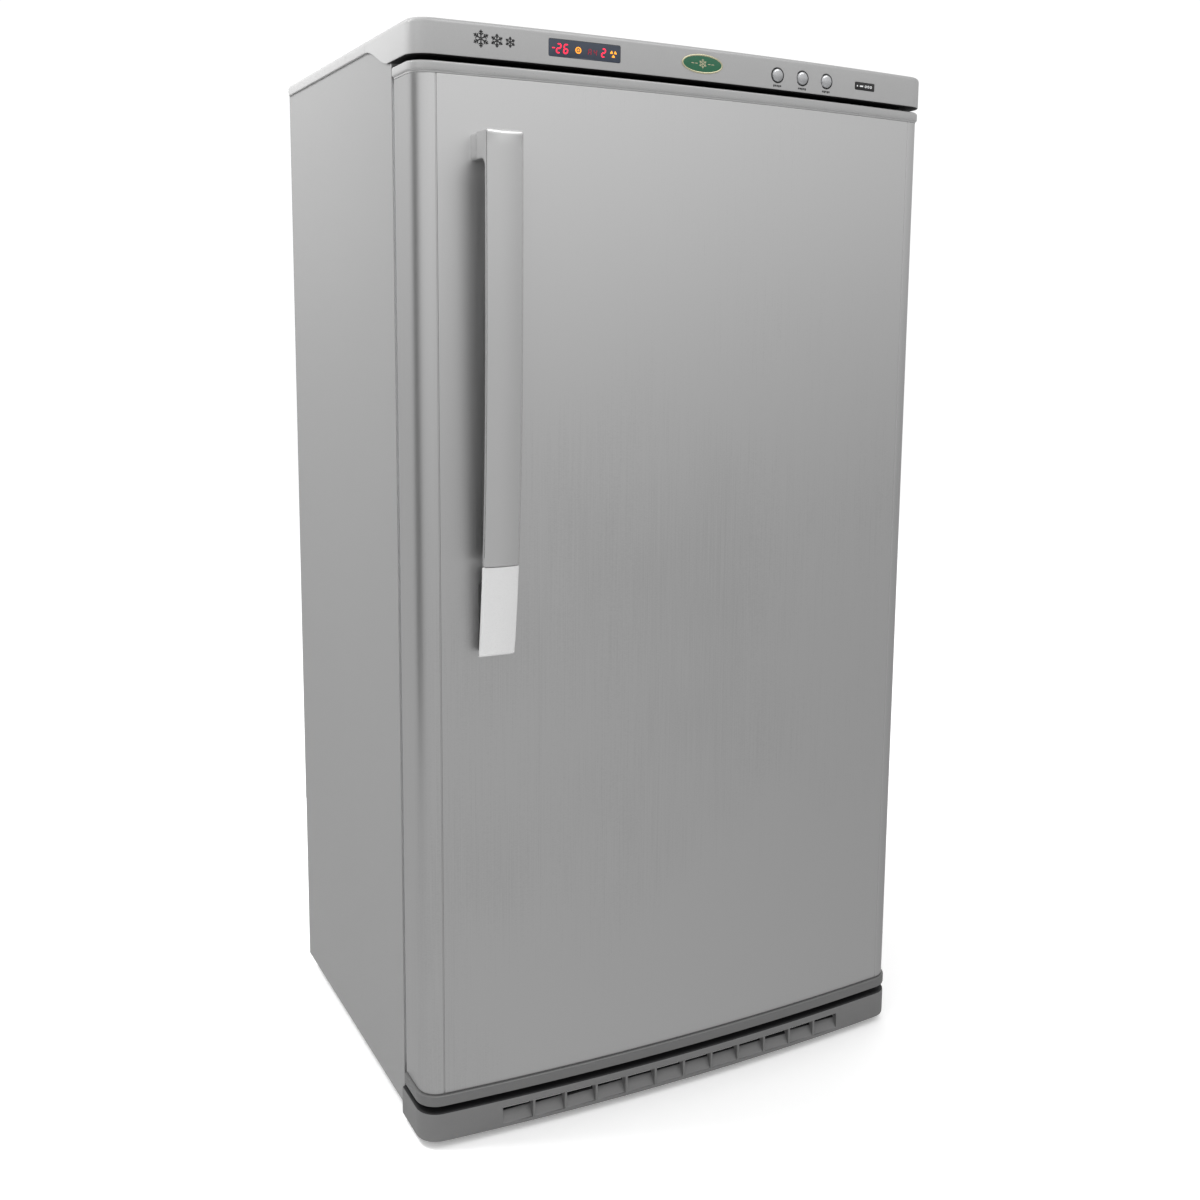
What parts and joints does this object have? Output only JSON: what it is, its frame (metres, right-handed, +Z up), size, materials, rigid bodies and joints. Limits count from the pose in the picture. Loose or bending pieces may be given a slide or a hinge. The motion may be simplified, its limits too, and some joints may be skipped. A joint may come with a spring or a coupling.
{
  "type": "upright freezer",
  "caption": "Upright single-door no-frost freezer: bowed steel door with a bar handle, control head cap, vented plinth, drawers and cooling unit.",
  "frame": {"origin": "on the floor, under the centre of the whole object's box", "axes": "+Z up, the door faces -Y and is hinged on the +X side"},
  "size_m": [0.6, 0.517, 1.125],
  "materials": {
    "door_steel": "vertically brushed, clear coated",
    "cabinet_paint": "silver-grey semi-gloss coating",
    "cap_plastic": "silver-grey satin paint on plastic",
    "trim_light": "silver satin plastic",
    "trim_dark": "dark grey satin plastic",
    "plinth_plastic": "grey satin plastic",
    "handle_steel": "silver satin",
    "handle_pale": "pale silver satin",
    "button_chrome": "satin chrome",
    "window_dark": "smoked glossy window",
    "window_black": "glossy black",
    "badge_green": "glossy enamel",
    "liner_white": "white vacuum-formed plastic",
    "foam": "rigid foam",
    "galvanised": "zinc coated sheet",
    "steel_plain": "plain steel",
    "black_metal": "black enamel",
    "black_plastic": "black satin plastic",
    "black_rubber": "matt rubber",
    "gasket_grey": "soft magnetic gasket",
    "board_green": "circuit board",
    "copper": "copper tube",
    "finned_aluminium": "bare fins",
    "bush_plastic": "acetal",
    "drawer_clear": "frosted clear plastic",
    "shelf_glass": "toughened glass"
  },
  "bodies": {
    "cabinet": {"cabinet_shell": "cabinet_paint", "rear_panel": "galvanised", "base_pan": "black_metal", "inner_liner": "liner_white", "foam_insulation": "foam", "machine_room_liner": "galvanised", "head_cap": "cap_plastic", "top_lid": "cap_plastic", "control_board": "board_green", "display_window": "window_dark", "indicator_window": "window_black", "badge": "badge_green", "top_hinge": "steel_plain", "bottom_hinge": "steel_plain", "hinge_washer": "bush_plastic", "plinth": "plinth_plastic", "roller_axles": "steel_plain", "compressor": "black_metal", "compressor_mounts": "black_rubber", "start_relay": "bush_plastic", "refrigerant_pipes": "copper", "condenser_coil": "finned_aluminium", "condenser_fan_motor": "black_metal", "drip_tray": "black_plastic", "rear_cover": "black_plastic", "rear_screws": "steel_plain", "mains_inlet": "black_plastic", "evaporator": "finned_aluminium", "evaporator_cover": "liner_white", "evaporator_fan_motor": "black_plastic", "defrost_heater": "steel_plain", "drain_gutter": "bush_plastic", "drain_tube": "bush_plastic", "shelf_lower": "shelf_glass", "shelf_middle": "shelf_glass", "shelf_upper": "shelf_glass"},
    "door": {"door_skin": "door_steel", "door_foam": "foam", "door_liner": "liner_white", "door_gasket": "gasket_grey", "door_top_trim": "trim_light", "door_bottom_trim": "trim_dark", "door_hinge_bushes": "bush_plastic", "handle_bar": "handle_steel", "handle_mount": "handle_steel", "handle_end_piece": "handle_pale"},
    "button_left": {"button_left": "button_chrome"},
    "button_middle": {"button_middle": "button_chrome"},
    "button_right": {"button_right": "button_chrome"},
    "foot_left": {"foot_left": "black_plastic"},
    "foot_right": {"foot_right": "black_plastic"},
    "roller_left": {"roller_left": "black_plastic"},
    "roller_right": {"roller_right": "black_plastic"},
    "condenser_fan": {"condenser_fan_blades": "black_plastic"},
    "evaporator_fan": {"evaporator_fan_blades": "bush_plastic"},
    "drawer_1": {"drawer_1": "drawer_clear"},
    "drawer_2": {"drawer_2": "drawer_clear"},
    "drawer_3": {"drawer_3": "drawer_clear"},
    "drawer_4": {"drawer_4": "drawer_clear"}
  },
  "joints": [
    {"name": "door_hinge", "type": "hinge", "parent": "cabinet", "child": "door", "pos_m": [0.2815, -0.18149, 0.0465], "axis": [0, 0, 1], "range_deg": [0, 135]},
    {"name": "button_left_press", "type": "slide", "parent": "cabinet", "child": "button_left", "axis": [0, 1, 0], "range_m": [0, 0.0015], "stiffness_N_per_m": 400, "springref_m": -0.0005},
    {"name": "button_middle_press", "type": "slide", "parent": "cabinet", "child": "button_middle", "axis": [0, 1, 0], "range_m": [0, 0.0015], "stiffness_N_per_m": 400, "springref_m": -0.0005},
    {"name": "button_right_press", "type": "slide", "parent": "cabinet", "child": "button_right", "axis": [0, 1, 0], "range_m": [0, 0.0015], "stiffness_N_per_m": 400, "springref_m": -0.0005},
    {"name": "foot_left_turn", "type": "hinge", "parent": "cabinet", "child": "foot_left", "pos_m": [-0.255, -0.17149, 0], "axis": [0, 0, 1], "continuous": true},
    {"name": "foot_right_turn", "type": "hinge", "parent": "cabinet", "child": "foot_right", "pos_m": [0.255, -0.17149, 0], "axis": [0, 0, 1], "continuous": true},
    {"name": "roller_left_spin", "type": "hinge", "parent": "cabinet", "child": "roller_left", "pos_m": [-0.25, 0.22051, 0.0075], "axis": [1, 0, 0], "continuous": true},
    {"name": "roller_right_spin", "type": "hinge", "parent": "cabinet", "child": "roller_right", "pos_m": [0.25, 0.22051, 0.0075], "axis": [1, 0, 0], "continuous": true},
    {"name": "condenser_fan_spin", "type": "hinge", "parent": "cabinet", "child": "condenser_fan", "pos_m": [-0.064, 0.17351, 0.106], "axis": [1, 0, 0], "continuous": true},
    {"name": "evaporator_fan_spin", "type": "hinge", "parent": "cabinet", "child": "evaporator_fan", "pos_m": [0, 0.15751, 0.88], "axis": [0, 1, 0], "continuous": true},
    {"name": "drawer_1_slide", "type": "slide", "parent": "cabinet", "child": "drawer_1", "axis": [0, -1, 0], "range_m": [0, 0.165]},
    {"name": "drawer_2_slide", "type": "slide", "parent": "cabinet", "child": "drawer_2", "axis": [0, -1, 0], "range_m": [0, 0.165]},
    {"name": "drawer_3_slide", "type": "slide", "parent": "cabinet", "child": "drawer_3", "axis": [0, -1, 0], "range_m": [0, 0.165]},
    {"name": "drawer_4_slide", "type": "slide", "parent": "cabinet", "child": "drawer_4", "axis": [0, -1, 0], "range_m": [0, 0.165]}
  ],
  "couplings": [
    {"joint": "drawer_1_slide", "follows": "door_hinge", "m_per_rad": 0.07},
    {"joint": "drawer_2_slide", "follows": "door_hinge", "m_per_rad": 0.07},
    {"joint": "drawer_3_slide", "follows": "door_hinge", "m_per_rad": 0.07},
    {"joint": "drawer_4_slide", "follows": "door_hinge", "m_per_rad": 0.07}
  ]
}
